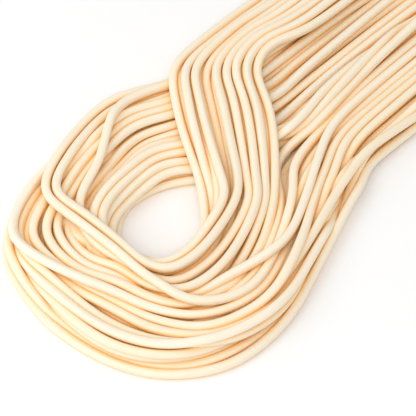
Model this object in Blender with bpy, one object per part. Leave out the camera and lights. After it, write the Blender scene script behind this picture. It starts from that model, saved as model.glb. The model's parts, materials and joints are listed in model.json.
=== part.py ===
"""Bundle of semi-dried udon noodles, laid on a flat surface in one open loop.

Every noodle comes in along one of two legs, goes once round the loop's hole and leaves
underneath, back along the legs. The legs run to +X and the loop lies at -X. Lengths are in
millimetres up to the last step, which turns them into metres.
"""
import math

import bmesh
import bpy
import numpy as np
from mathutils.kdtree import KDTree

NODE_NAME = "noodle_bundle"
METRES = 0.001

# Noodles
NOODLE_WIDTH = 2.7          # across a noodle
TOP_LEG_UNDERLAY = 8        # noodles under those that show on the upper leg
SIDE_LEG_UNDERLAY = 9       # the same on the lower leg
DRIFT = 0.045               # how far such a noodle wanders, as a share of the band's width
KEPT_WITHIN = (0.05, 0.93)  # places across the band between which it keeps
DRIFT_STATIONS = 4          # between two turns of that wandering
RETURN_SHUFFLE = 0.16       # how far it has changed its place when it goes back under
SHUFFLE_START = 6           # station of the loop from which it does so
SHUFFLE_STATIONS = 5        # that this takes
END_UNEVENNESS = 5.0        # by which the cut ends differ
SEED = 7

# Fineness
LAY_POINTS = 170            # points along a noodle while it is laid
SKETCH_POINTS = 1500
BEND_ROUNDS = 400           # smoothing that gives a noodle its stiffness in plan
MESH_POINTS = 22            # points along a noodle in the solid
RIM_POINTS = 30             # the same along the outermost one, which bounds the bundle
STRETCH_POINTS = 9          # the same where only its way back shows
NOODLE_BEVEL = 1            # which gives it six sides
CORNER_RADIUS = 1.5         # of those sides' corners, so that neighbours meet
WELD = 0.00001              # in metres
SHARP_ANGLE = 50.0
BEND_WEIGHT = 25.0          # how much closer those lie in a bend, in mm for a radian

# Packing: noodles first sink together, then are only eased off each other
PACKING = (
    {"rounds": 400, "sink": 0.02, "hold": 0.05, "stiffness": 0.4},
    {"rounds": 150, "sink": 0.003, "hold": 0.02, "stiffness": 0.3},
)
JITTER = 0.05
PAIR_REACH = 5.0
PAIR_ROUNDS = 25
OWN_STEPS = 6
PUSH = 0.9
SHIFT_SMOOTHING = 5
HEIGHT_SMOOTHING = 2

# Noodles of the two underlays that show too
WAY_BACK_SHOWN = (0, 1, 4, 5)   # of the top leg, between the legs only
WAY_BACK_START = 11.7           # station at which that begins
RIM_SHOWN = 8                   # of the side leg, under the loop's outermost one

# The core that the noodles are fused to
CORE_RAILS = (0.035, 0.2, 0.4, 0.6, 0.8, 0.965)
CORE_STEPS_PER_STATION = 2
CORE_DEPTH = 0.9            # of its top under the axes of the noodles above it
LEG_CORE_DEPTH = 1.2        # the same on the legs
LEG_CORE_OVERLAP = 2        # stations that a leg's core reaches onto the loop's
LOOP_CORE_START = ((-0.6, -0.9), (32.6, -24.4))
CORE_SETBACK = 7.0          # from the noodles' cut ends
# Where the side leg's core starts across each of its stations; it laps the way back's
SIDE_CORE_START = (-0.1, -0.1, -0.1, -0.12, -0.5, 0.3, 0.5)
CORE_LOWEST_TOP = 1.2
CORE_REACH = 3.2            # round a point of the core, within which noodles lie above it
CORE_STATION_REACH = 1.2    # the same along the band, in stations

COLOUR = (0.930, 0.800, 0.585, 1.0)
ROUGHNESS = 0.5


def across(x, near, far):
    """A station over a leg at x: its two edges by their y."""
    return ((x, near), (x, far))


# The band that the noodles fill, as stations from the far end of a leg on. Each gives the
# inner edge (the side of the hole) and the outer edge.
TOP_LEG = (
    across(146.0, 55.5, 32.0),
    across(104.0, 52.7, 30.0),
    across(63.5, 49.3, 26.8),
    ((45.8, 47.0), (49.9, 29.8)),
    ((22.5, 42.0), (40.0, 25.2)),
    ((14.2, 32.3), (34.4, 12.2)),
    ((7.3, 18.7), (26.1, 0.0)),
    ((2.4, 6.1), (17.7, -9.9)),
)
SIDE_LEG = (
    across(144.5, 11.4, -13.6),
    across(99.5, 8.0, -16.3),
    across(66.5, 4.7, -18.6),
    across(46.5, 0.2, -19.9),
    ((26.0, -4.0), (38.0, -23.0)),
)
LOOP = (
    ((-2.0, -2.4), (31.3, -26.2)),
    ((-9.9, -9.9), (10.3, -35.5)),
    ((-18.4, -12.9), (-9.7, -43.0)),
    ((-26.9, -11.2), (-29.6, -42.8)),
    ((-30.3, -6.1), (-46.0, -35.8)),
    ((-31.3, -0.3), (-56.6, -21.0)),
    ((-31.1, 6.1), (-59.4, 1.8)),
    ((-25.3, 12.3), (-56.5, 23.4)),
    ((-19.2, 15.7), (-42.5, 33.3)),
    ((-11.1, 16.2), (-24.0, 39.3)),
    ((-2.6, 14.0), (-2.3, 45.0)),
    ((5.6, 9.1), (14.5, 40.9)),
)
RETURN = (
    ((16.5, 4.4), (27.7, 39.4)),
    ((33.3, 0.3), (42.3, 43.4)),
    ((54.6, 3.0), (59.8, 43.8)),
    ((86.0, 6.2), (89.0, 45.2)),
    ((144.0, 9.6), (147.0, 50.0)),
)
ROUND = LOOP + RETURN

# How much of the loop's width the two legs' noodles take, station by station
TOP_LEG_SHARE = (0.42, 0.45, 0.49, 0.49, 0.493, 0.50, 0.507, 0.513) + (0.52,) * 9
SIDE_LEG_START = (0.44, 0.48, 0.52) + (0.55,) * 14

# Layer of the lowest noodles where they come in, and what the loop's own layers start at
TOP_LEG_LAYERS = (4.4, 4.4, 4.4, 4.6, 5.0, 5.0, 4.6, 3.4)
SIDE_LEG_LAYERS = (3.6, 3.6, 3.4, 3.0, 2.4)
LOOP_LAYER = 0.6
LOOP_LAYER_RISE = (1.0, 0.4)

# The noodles on top, in their order across each leg: their places across the band (0 at the
# hole, 1 at the rim) and their layers at the loop's stations, and where one leaves the order
# already on its leg, its place and layer at the leg's last station
TOP_LEG_COURSES = (
    {
        "places": (-0.02, 0.02, -0.01, -0.01, 0.02, 0.06, 0.10, 0.06, 0.00, 0.02, 0.07, 0.06, 0.04),
        "layers": (1.4, 0.6, 0.6, 0.6, 0.6, 0.6, 0.6, 0.8, 1.0, 1.0, 0.8, 0.8, 0.6),
    },
    {
        "places": (0.05, 0.07, 0.04, 0.04, 0.06, 0.10, 0.14, 0.12, 0.06, 0.08, 0.13, 0.13, 0.12),
        "layers": (1.2, 0.6, 0.6, 0.6, 0.6, 0.6, 0.8, 1.4, 1.6, 1.6, 1.2, 0.8, 0.6),
    },
    {
        "places": (0.12, 0.015, -0.01, 0.01, 0.04, 0.10, 0.17, 0.16, 0.13, 0.15, 0.21, 0.21, 0.20),
        "layers": (1.8, 1.8, 1.6, 1.6, 1.4, 1.2, 1.2, 1.6, 1.8, 1.8, 1.4, 0.8, 0.6),
    },
    {
        "places": (0.18, 0.10, 0.08, 0.10, 0.10, 0.14, 0.20, 0.21, 0.20, 0.23, 0.30, 0.31, 0.30),
        "layers": (0.8, 0.6, 0.6, 0.6, 0.6, 0.6, 1.0, 1.6, 2.0, 2.0, 1.6, 0.8, 0.6),
    },
    {
        "places": (0.205, 0.115, 0.085, 0.11, 0.08, 0.04, 0.07, 0.29, 0.71, 0.87, 0.93, 0.93, 0.90),
        "layers": (1.8, 1.8, 1.6, 1.8, 2.8, 3.8, 4.4, 4.8, 4.2, 2.6, 1.6, 0.6, 0.6),
    },
    {
        "places": (0.30, 0.235, 0.19, 0.21, 0.17, 0.13, 0.22, 0.33, 0.45, 0.56, 0.88, 1.00, 0.90),
        "layers": (1.8, 1.8, 1.6, 1.6, 1.6, 1.6, 1.8, 2.0, 3.2, 4.6, 4.2, 1.8, 0.8),
    },
    {
        "places": (0.365, 0.34, 0.33, 0.36, 0.27, 0.19, 0.36, 0.47, 0.47, 0.50, 0.57, 0.58, 0.58),
        "layers": (1.8, 1.8, 1.6, 1.6, 1.6, 1.8, 1.8, 1.8, 2.2, 2.4, 1.8, 1.2, 0.8),
    },
    {
        "places": (0.42, 0.42, 0.42, 0.43, 0.32, 0.27, 0.45, 0.57, 0.58, 0.66, 0.66, 0.67, 0.67),
        "layers": (1.8, 1.8, 1.6, 1.6, 1.6, 1.8, 1.8, 1.8, 2.2, 2.4, 1.8, 1.2, 0.8),
    },
    {
        "places": (0.48, 0.54, 0.52, 0.49, 0.39, 0.35, 0.55, 0.67, 0.66, 0.75, 0.75, 0.76, 0.76),
        "layers": (1.8, 1.8, 1.8, 1.8, 1.8, 1.8, 1.8, 1.8, 1.8, 1.8, 1.6, 1.0, 0.8),
    },
)
SIDE_LEG_COURSES = (
    {
        "places": (0.545, 0.62, 0.60, 0.53, 0.44, 0.38, 0.30, 0.25, 0.26, 0.30, 0.38, 0.40, 0.42),
        "layers": (1.8, 1.8, 1.6, 1.0, 0.6, 0.6, 0.6, 1.2, 2.0, 2.2, 1.8, 1.0, 0.8),
        "approach": (-0.08, 3.4),
    },
    {
        "places": (0.63, 0.68, 0.69, 0.52, 0.23, 0.15, 0.18, 0.40, 0.82, 1.00, 1.03, 0.98, 0.95),
        "layers": (1.8, 2.2, 3.0, 4.2, 4.8, 4.8, 5.0, 4.8, 4.0, 2.4, 1.2, 0.6, 0.6),
        "approach": (0.19, 3.4),
    },
    {
        "places": (0.72, 0.73, 0.46, 0.42, 0.30, 0.22, 0.22, 0.31, 0.34, 0.39, 0.47, 0.49, 0.50),
        "layers": (3.6, 4.4, 4.4, 2.2, 1.0, 0.6, 0.6, 1.2, 2.0, 2.2, 1.8, 1.0, 0.8),
        "approach": (0.47, 4.4),
    },
    {
        "places": (0.67, 0.73, 0.75, 0.62, 0.49, 0.47, 0.67, 0.95, 1.01, 0.95, 0.87, 0.86, 0.86),
        "layers": (0.8, 1.2, 1.8, 2.6, 3.0, 3.4, 3.6, 3.0, 1.6, 0.8, 0.6, 0.6, 0.6),
        "approach": (0.33, 2.4),
    },
    {
        "places": (0.79, 0.885, 0.90, 0.80, 0.60, 0.53, 0.66, 0.80, 0.79, 0.82, 0.82, 0.83, 0.83),
        "layers": (1.8, 1.8, 1.8, 2.0, 1.8, 1.4, 1.4, 1.8, 1.6, 1.2, 1.2, 0.8, 0.8),
        "approach": (0.62, 3.4),
    },
    {
        "places": (0.86, 0.93, 0.94, 0.88, 0.70, 0.60, 0.71, 0.86, 0.90, 0.89, 0.88, 0.88, 0.88),
        "layers": (1.2, 1.0, 0.8, 1.0, 2.0, 2.4, 1.8, 1.4, 1.2, 1.0, 0.8, 0.6, 0.6),
        "approach": (0.74, 3.0),
    },
    {
        "places": (0.92, 0.96, 0.98, 0.92, 0.80, 0.75, 0.79, 0.90, 0.95, 0.94, 0.92, 0.92, 0.92),
        "layers": (1.0, 0.8, 0.6, 0.6, 1.4, 1.6, 1.6, 1.0, 0.8, 0.6, 0.6, 0.6, 0.6),
        "approach": (0.80, 2.4),
    },
    {
        "places": (0.94, 0.98, 0.99, 0.94, 0.87, 0.84, 0.88, 0.94, 0.97, 0.98, 0.96, 0.95, 0.95),
        "layers": (0.6, 0.6, 0.6, 1.0, 1.4, 1.4, 1.4, 0.8, 0.6, 0.4, 0.4, 0.4, 0.4),
        "approach": (0.88, 2.0),
    },
    {
        "places": (0.97, 1.00, 0.98, 0.97, 0.93, 0.90, 0.95, 0.96, 0.98, 0.99, 0.98, 0.97, 0.97),
        "layers": (0.2, 0.2, 0.0, 0.0, 0.2, 0.4, 0.6, 0.4, 0.2, 0.2, 0.2, 0.2, 0.2),
        "approach": (0.95, 1.4),
    },
    {
        "places": (1.02, 1.05, 1.08, 1.10, 1.00, 0.96, 1.02, 0.99, 1.00, 0.98, 1.00, 1.00, 0.99),
        "layers": (0.0, 0.0, 0.0, 0.0, 0.0, 0.0, 0.0, 0.0, 0.0, 0.0, 0.0, 0.0, 0.0),
        "approach": (1.05, 1.0),
    },
)


def smooth_through(knots, values, where):
    """Values of a smooth curve through the given ones, at other places along it."""
    slope = np.empty_like(values)
    slope[1:-1] = (values[2:] - values[:-2]) / (knots[2:] - knots[:-2])[:, None]
    slope[0] = (values[1] - values[0]) / (knots[1] - knots[0])
    slope[-1] = (values[-1] - values[-2]) / (knots[-1] - knots[-2])
    left = np.clip(np.searchsorted(knots, where, side="right") - 1, 0, len(knots) - 2)
    span = (knots[left + 1] - knots[left])[:, None]
    t = (where - knots[left])[:, None] / span
    return (
        (2 * t**3 - 3 * t**2 + 1) * values[left]
        + (t**3 - 2 * t**2 + t) * span * slope[left]
        + (3 * t**2 - 2 * t**3) * values[left + 1]
        + (t**3 - t**2) * span * slope[left + 1]
    )


def spread_evenly(line, count):
    """The same line with a given number of evenly spaced points."""
    steps = np.linalg.norm(np.diff(line[:, :2], axis=0), axis=1)
    run = np.concatenate(([0.0], np.cumsum(steps)))
    at = np.linspace(0.0, run[-1], count)
    return np.column_stack([np.interp(at, run, column) for column in line.T])


def soften(line, rounds):
    """Takes the tight bends out of a line in plan."""
    for _ in range(rounds):
        middle = 0.5 * (line[:-2, :2] + line[2:, :2])
        line[1:-1, :2] += 0.5 * (middle - line[1:-1, :2])
    return line


def drift(count, rng):
    """A slow random wander, one value a station, read from a cubic spline."""
    knots = rng.normal(size=count // DRIFT_STATIONS + 4) * DRIFT
    place = np.linspace(1, len(knots) - 2.001, count)
    i = place.astype(int)
    t = place - i
    return (
        (1 - t) ** 3 * knots[i - 1]
        + (3 * t**3 - 6 * t**2 + 4) * knots[i]
        + (-3 * t**3 + 3 * t**2 + 3 * t + 1) * knots[i + 1]
        + t**3 * knots[i + 2]
    ) / 6


def noodle_line(leg, places, layers):
    """One noodle's axis before it is eased off the others, with the station at each point."""
    edges = np.array(leg + ROUND)
    share = places[:, None]
    plan = edges[:, 0] * (1 - share) + edges[:, 1] * share
    stations = np.arange(len(edges)) - len(leg)
    points = np.column_stack((plan, layers * NOODLE_WIDTH, stations))
    steps = np.linalg.norm(np.diff(plan, axis=0), axis=1)
    knots = np.concatenate(([0.0], np.cumsum(np.sqrt(steps))))
    line = smooth_through(knots, points, np.linspace(0.0, knots[-1], SKETCH_POINTS))
    return spread_evenly(soften(line, BEND_ROUNDS), LAY_POINTS)


def lay_noodle(leg, leg_layers, share_of_leg, loop_places, layer, rng):
    """The places and layers of one noodle at all stations, from its place on its leg."""
    leg_places = np.full(len(leg), share_of_leg)
    shuffle = np.clip((np.arange(len(ROUND)) - SHUFFLE_START) / SHUFFLE_STATIONS, 0.0, 1.0)
    return_places = np.clip(loop_places + rng.normal() * RETURN_SHUFFLE, 0.0, 1.0)
    loop_places = loop_places * (1 - shuffle) + return_places * shuffle
    loop_layers = np.full(len(ROUND), LOOP_LAYER + layer)
    loop_layers[: len(LOOP_LAYER_RISE)] += LOOP_LAYER_RISE
    places = np.concatenate((leg_places, loop_places))
    places = np.clip(places + drift(len(places), rng), *KEPT_WITHIN)
    layers = np.concatenate((np.array(leg_layers) + layer, loop_layers))
    return places, layers


def follow_course(leg, course, share_of_leg, places, layers):
    """Puts a noodle that shows onto its own course."""
    known = slice(len(leg), len(leg) + len(course["places"]))
    places[: len(leg)] = share_of_leg
    places[known] = course["places"]
    layers[known] = course["layers"]
    if "approach" in course:
        places[len(leg) - 1], layers[len(leg) - 1] = course["approach"]


def lay_leg(leg, leg_layers, courses, underlay, loop_start, loop_share, rng):
    """The axes of one leg's noodles, the ones that show first."""
    lines = []
    for number, course in enumerate(courses):
        place = number / (len(courses) - 1)
        loop_places = loop_start + loop_share * place
        places, layers = lay_noodle(leg, leg_layers, place, loop_places, 1.0, rng)
        follow_course(leg, course, place, places, layers)
        lines.append(noodle_line(leg, places, layers))
    for number in range(underlay):
        place = (number + 0.5) / underlay
        loop_places = loop_start + loop_share * place
        places, layers = lay_noodle(leg, leg_layers, place, loop_places, 0.0, rng)
        lines.append(noodle_line(leg, places, layers))
    return lines


def lay_all(rng):
    """The axes of all noodles, the upper leg's first."""
    top_share = np.array(TOP_LEG_SHARE)
    side_start = np.array(SIDE_LEG_START)
    top = (TOP_LEG, TOP_LEG_LAYERS, TOP_LEG_COURSES, TOP_LEG_UNDERLAY, 0 * top_share, top_share)
    side = (
        SIDE_LEG, SIDE_LEG_LAYERS, SIDE_LEG_COURSES, SIDE_LEG_UNDERLAY, side_start, 1 - side_start
    )
    return np.array(lay_leg(*top, rng) + lay_leg(*side, rng))


def near_pairs(lines):
    """Pairs of noodle stretches that lie close enough to touch."""
    count = lines.shape[1]
    middles = (0.5 * (lines[:, 1:] + lines[:, :-1])).reshape(-1, 3)
    tree = KDTree(len(middles))
    for index, middle in enumerate(middles):
        tree.insert(middle, index)
    tree.balance()
    pairs = [
        (index, other)
        for index, middle in enumerate(middles)
        for _, other, _ in tree.find_range(middle, PAIR_REACH)
        if other > index
    ]
    pairs = np.array(sorted(pairs))
    noodle, step = np.divmod(pairs, count - 1)
    apart = (noodle[:, 0] != noodle[:, 1]) | (np.abs(step[:, 0] - step[:, 1]) > OWN_STEPS)
    starts = noodle * count + step
    return starts[apart, 0], starts[apart, 1]


def nearest_places(points, first, second):
    """Where each pair of stretches comes closest, and the way from the second to the first."""
    one = points[first + 1] - points[first]
    two = points[second + 1] - points[second]
    gap = points[first] - points[second]
    aa = np.einsum("ij,ij->i", one, one)
    bb = np.einsum("ij,ij->i", two, two)
    ab = np.einsum("ij,ij->i", one, two)
    ag = np.einsum("ij,ij->i", one, gap)
    bg = np.einsum("ij,ij->i", two, gap)
    cross = aa * bb - ab * ab
    s = np.where(cross > 1e-6 * aa * bb, (ab * bg - ag * bb) / np.maximum(cross, 1e-12), 0.5)
    s = np.clip(s, 0.0, 1.0)
    t = np.clip((ab * s + bg) / bb, 0.0, 1.0)
    s = np.clip((ab * t - ag) / aa, 0.0, 1.0)
    return s, t, gap + one * s[:, None] - two * t[:, None]


def push_apart(lines, first, second):
    """Moves touching stretches off each other."""
    points = lines.reshape(-1, 3)
    s, t, way = nearest_places(points, first, second)
    distance = np.linalg.norm(way, axis=1)
    touching = distance < NOODLE_WIDTH
    first, second, s, t = first[touching], second[touching], s[touching], t[touching]
    distance = np.maximum(distance[touching], 1e-6)
    push = way[touching] / distance[:, None] * (NOODLE_WIDTH - distance)[:, None]
    shares = np.stack((1 - s, s, 1 - t, t))
    owners = np.concatenate((first, first + 1, second, second + 1))
    signed = shares * np.array([1, 1, -1, -1])[:, None] / (shares**2).sum(axis=0)
    moves = np.tile(push, (4, 1)) * signed.reshape(-1, 1)
    load = np.bincount(owners, shares.reshape(-1), minlength=len(points))
    total = np.stack(
        [np.bincount(owners, moves[:, axis], minlength=len(points)) for axis in range(3)], axis=1
    )
    points += PUSH * total / np.maximum(load, 1.0)[:, None]
    return points.reshape(lines.shape)


def ease_apart(lines, rng):
    """Packs the noodles: they sink until they lie on each other, and none cuts another."""
    home = lines.copy()
    lines = lines + rng.normal(size=lines.shape) * JITTER
    for stage in PACKING:
        for turn in range(stage["rounds"]):
            if turn % PAIR_ROUNDS == 0:
                first, second = near_pairs(lines)
            lines[..., 2] -= stage["sink"]
            shift = (lines - home)[..., :2]
            for _ in range(SHIFT_SMOOTHING):
                middle = 0.5 * (shift[:, :-2] + shift[:, 2:])
                shift[:, 1:-1] += 0.5 * (middle - shift[:, 1:-1])
            lines[..., :2] = home[..., :2] + shift * (1 - stage["hold"])
            height = lines[..., 2]
            for _ in range(HEIGHT_SMOOTHING):
                middle = 0.5 * (height[:, :-2] + height[:, 2:])
                height[:, 1:-1] += stage["stiffness"] * (middle - height[:, 1:-1])
            lines = push_apart(lines, first, second)
            lines[..., 2] = np.maximum(lines[..., 2], NOODLE_WIDTH / 2)
    return lines


def trim_ends(line, rng):
    """Cuts a noodle a little shorter at both ends."""
    steps = np.linalg.norm(np.diff(line[:, :3], axis=0), axis=1)
    run = np.concatenate(([0.0], np.cumsum(steps)))
    first, last = rng.uniform(0.0, END_UNEVENNESS, 2)
    at = np.linspace(first, run[-1] - last, len(line))
    return np.column_stack([np.interp(at, run, column) for column in line.T])


def pack_bundle():
    """The noodles' axes, packed and centred over the origin, the stations along them and
    how far they were moved to get there."""
    rng = np.random.default_rng(SEED)
    laid = lay_all(rng)
    laid[..., :3] = ease_apart(laid[..., :3], rng)
    laid = np.array([trim_ends(line, rng) for line in laid])
    lines = laid[..., :3]
    low = lines[..., :2].min(axis=(0, 1)) - CORNER_RADIUS
    high = lines[..., :2].max(axis=(0, 1)) + (0.0, CORNER_RADIUS)
    move = -(low + high) / 2
    lines[..., :2] += move
    return lines, laid[..., 3], move


def thin_out(line, count):
    """The same line with fewer points, closer together where it bends. Its lowest x and y
    and its highest place are kept, which bound the bundle."""
    steps = np.diff(line, axis=0)
    lengths = np.linalg.norm(steps, axis=1)
    headings = steps / lengths[:, None]
    bends = np.arccos(np.clip((headings[1:] * headings[:-1]).sum(axis=1), -1.0, 1.0))
    weights = lengths.copy()
    weights[1:] += BEND_WEIGHT * bends / 2
    weights[:-1] += BEND_WEIGHT * bends / 2
    run = np.concatenate(([0.0], np.cumsum(weights)))
    at = np.linspace(0.0, run[-1], count)
    thin = np.column_stack([np.interp(at, run, column) for column in line.T])
    for farthest in (line[:, 0].argmin(), line[:, 1].argmin(), line[:, 2].argmax()):
        nearest = 1 + np.linalg.norm(thin[1:-1] - line[farthest], axis=1).argmin()
        if 0 < farthest < len(line) - 1:
            thin[nearest] = line[farthest]
    return thin


def core_tops(station, plan, depth, lines, noodle_stations):
    """Heights of the core across one station, from the noodles over it there."""
    beside = np.abs(noodle_stations - station) < CORE_STATION_REACH
    tops = np.full(len(plan), CORE_LOWEST_TOP)
    for index, place in enumerate(plan):
        over = beside & (np.linalg.norm(lines[..., :2] - place, axis=2) < CORE_REACH)
        if over.any():
            tops[index] = max(lines[..., 2][over].max() - depth, CORE_LOWEST_TOP)
    return tops


def share_of(station, start, end):
    """The stretch of a station between two places across it."""
    inner, outer = (np.array(edge) for edge in station)
    return (tuple(inner + (outer - inner) * start), tuple(inner + (outer - inner) * end))


def set_back(station, following):
    """A station moved from the noodles' cut ends towards the next one."""
    station, following = np.array(station), np.array(following)
    way = (following - station).mean(axis=0)
    return station + way / np.linalg.norm(way) * CORE_SETBACK


def core_band(edges, first_station, depth, lines, noodle_stations, move):
    """One closed solid under a band of noodles, from its flat foot to just under their axes."""
    edges = np.array(edges) + move
    knots = np.arange(len(edges), dtype=float)
    fine = np.linspace(0.0, knots[-1], CORE_STEPS_PER_STATION * (len(edges) - 1) + 1)
    sides = smooth_through(knots, edges.reshape(len(edges), 4), fine)
    shell = bmesh.new()
    rings = []
    for station, side in zip(fine + first_station, sides):
        shares = np.array(CORE_RAILS)[:, None]
        plan = side[None, :2] * (1 - shares) + side[None, 2:] * shares
        tops = core_tops(station, plan, depth, lines, noodle_stations)
        roof = [(x, y, top) for (x, y), top in zip(plan, tops)]
        foot = [(x, y, 0.0) for x, y in plan[::-1]]
        rings.append([shell.verts.new(np.array(co) * METRES) for co in roof + foot])
    for ring, following in zip(rings, rings[1:]):
        for index in range(len(ring)):
            after = (index + 1) % len(ring)
            shell.faces.new((ring[index], following[index], following[after], ring[after]))
    for ring in (rings[0], rings[-1]):
        for index in range(len(CORE_RAILS) - 1):
            below = len(ring) - 1 - index
            shell.faces.new((ring[index], ring[index + 1], ring[below - 1], ring[below]))
    bmesh.ops.triangulate(shell, faces=shell.faces)
    bmesh.ops.recalc_face_normals(shell, faces=shell.faces)
    mesh = bpy.data.meshes.new("core_band")
    shell.to_mesh(mesh)
    shell.free()
    return mesh


def noodle_mesh(line, count):
    """One noodle, or a stretch of one, as a closed tube with so many points along it."""
    curve = bpy.data.curves.new("noodle", "CURVE")
    curve.dimensions = "3D"
    curve.bevel_depth = CORNER_RADIUS * METRES
    curve.bevel_resolution = NOODLE_BEVEL
    curve.use_fill_caps = True
    points = thin_out(line, count)
    points[:, 2] = np.maximum(points[:, 2], CORNER_RADIUS)
    points *= METRES
    spline = curve.splines.new("POLY")
    spline.points.add(len(points) - 1)
    for point, co in zip(spline.points, points):
        point.co = (*co, 1.0)
    holder = bpy.data.objects.new("noodle_curve", curve)
    bpy.context.scene.collection.objects.link(holder)
    evaluated = holder.evaluated_get(bpy.context.evaluated_depsgraph_get())
    mesh = bpy.data.meshes.new_from_object(evaluated)
    bpy.data.objects.remove(holder)
    bpy.data.curves.remove(curve)
    tube = bmesh.new()
    tube.from_mesh(mesh)
    bmesh.ops.remove_doubles(tube, verts=tube.verts, dist=WELD)
    bmesh.ops.recalc_face_normals(tube, faces=tube.faces)
    tube.to_mesh(mesh)
    tube.free()
    return mesh


def fuse(base, pieces):
    """Joins the pieces to the base object and removes them."""
    group = bpy.data.collections.new("pieces_to_join")
    bpy.context.scene.collection.children.link(group)
    for mesh in pieces:
        group.objects.link(bpy.data.objects.new(mesh.name, mesh))
    union = base.modifiers.new("join", "BOOLEAN")
    union.operation = "UNION"
    union.operand_type = "COLLECTION"
    union.collection = group
    union.solver = "MANIFOLD"
    evaluated = base.evaluated_get(bpy.context.evaluated_depsgraph_get())
    fused = bpy.data.meshes.new_from_object(evaluated)
    base.modifiers.clear()
    base.data = fused
    for piece in list(group.objects):
        bpy.data.objects.remove(piece)
    bpy.data.collections.remove(group)


def keep_largest_shell(mesh):
    """Fills sealed hollows and drops loose scraps: only the outer skin stays."""
    skin = bmesh.new()
    skin.from_mesh(mesh)
    skin.faces.ensure_lookup_table()
    unseen = set(skin.faces)
    shells = []
    while unseen:
        front = [unseen.pop()]
        shell = list(front)
        while front:
            face = front.pop()
            for edge in face.edges:
                for other in edge.link_faces:
                    if other in unseen:
                        unseen.remove(other)
                        front.append(other)
                        shell.append(other)
        shells.append(shell)
    shells.sort(key=len)
    for shell in shells[:-1]:
        bmesh.ops.delete(skin, geom=shell, context="FACES")
    bmesh.ops.delete(skin, geom=[v for v in skin.verts if not v.link_faces], context="VERTS")
    skin.to_mesh(mesh)
    skin.free()


def noodle_material():
    """Matte cream dough."""
    material = bpy.data.materials.new("noodle_dough")
    material.use_nodes = True
    shader = material.node_tree.nodes["Principled BSDF"]
    shader.inputs["Base Color"].default_value = COLOUR
    shader.inputs["Roughness"].default_value = ROUGHNESS
    shader.inputs["Metallic"].default_value = 0.0
    return material


def core_bands(lines, stations, move):
    """The core's three bands: once round with the way back, and the two legs."""
    onto_loop = range(LEG_CORE_OVERLAP)
    loop = (LOOP_CORE_START, *ROUND[1:-1], set_back(ROUND[-1], ROUND[-2]))
    top_leg = (set_back(TOP_LEG[0], TOP_LEG[1]), *TOP_LEG[1:])
    top_leg += tuple(share_of(LOOP[i], 0.0, TOP_LEG_SHARE[i]) for i in onto_loop)
    side_leg = (set_back(SIDE_LEG[0], SIDE_LEG[1]), *SIDE_LEG[1:], *LOOP[:LEG_CORE_OVERLAP])
    side_leg = [share_of(*sides, 1.0) for sides in zip(side_leg, SIDE_CORE_START)]
    return [
        core_band(loop, 0, CORE_DEPTH, lines, stations, move),
        core_band(top_leg, -len(TOP_LEG), LEG_CORE_DEPTH, lines, stations, move),
        core_band(side_leg, -len(SIDE_LEG), LEG_CORE_DEPTH, lines, stations, move),
    ]


def shown_noodles(lines, stations):
    """Meshes of the noodles that show."""
    top_underlay = len(TOP_LEG_COURSES)
    side_leg = top_underlay + TOP_LEG_UNDERLAY
    side_underlay = side_leg + len(SIDE_LEG_COURSES)
    rim = side_underlay - 1
    whole = (*range(top_underlay), *range(side_leg, rim), side_underlay + RIM_SHOWN)
    meshes = [noodle_mesh(lines[number], MESH_POINTS) for number in whole]
    meshes.append(noodle_mesh(lines[rim], RIM_POINTS))
    for number in WAY_BACK_SHOWN:
        line = lines[top_underlay + number]
        stretch = line[stations[top_underlay + number] > WAY_BACK_START]
        meshes.append(noodle_mesh(stretch, STRETCH_POINTS))
    return meshes


def build():
    """Makes the whole bundle as one solid."""
    for leftover in list(bpy.data.objects):
        bpy.data.objects.remove(leftover)
    parts = bpy.data.collections.new("udon_noodle_bundle")
    bpy.context.scene.collection.children.link(parts)

    lines, stations, move = pack_bundle()
    bands = core_bands(lines, stations, move)
    bundle = bpy.data.objects.new(NODE_NAME, bands[0])
    parts.objects.link(bundle)
    fuse(bundle, bands[1:] + shown_noodles(lines, stations))
    keep_largest_shell(bundle.data)
    bundle.data.materials.clear()
    bundle.data.materials.append(noodle_material())
    bundle.data.shade_smooth()
    bundle.data.set_sharp_from_angle(angle=math.radians(SHARP_ANGLE))


if __name__ == "__main__":
    build()
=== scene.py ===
"""Semi-dried udon noodles lying in one open loop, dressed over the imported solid.

Each noodle comes in along one of two legs, goes once round the loop's hole, dives under the upper
leg and runs back beside the legs. The noodles are laid one by one along that band, packed until
they rest on each other, and drawn out at their true width over a plain core of dough.

Plan and section are worked out in millimetres and turned into metres where a mesh is made.
"""
import json
import logging
import math
from collections.abc import Iterator
from dataclasses import dataclass, field
from enum import Enum

import bmesh
import bpy
import numpy as np
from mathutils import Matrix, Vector
from mathutils.kdtree import KDTree

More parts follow.
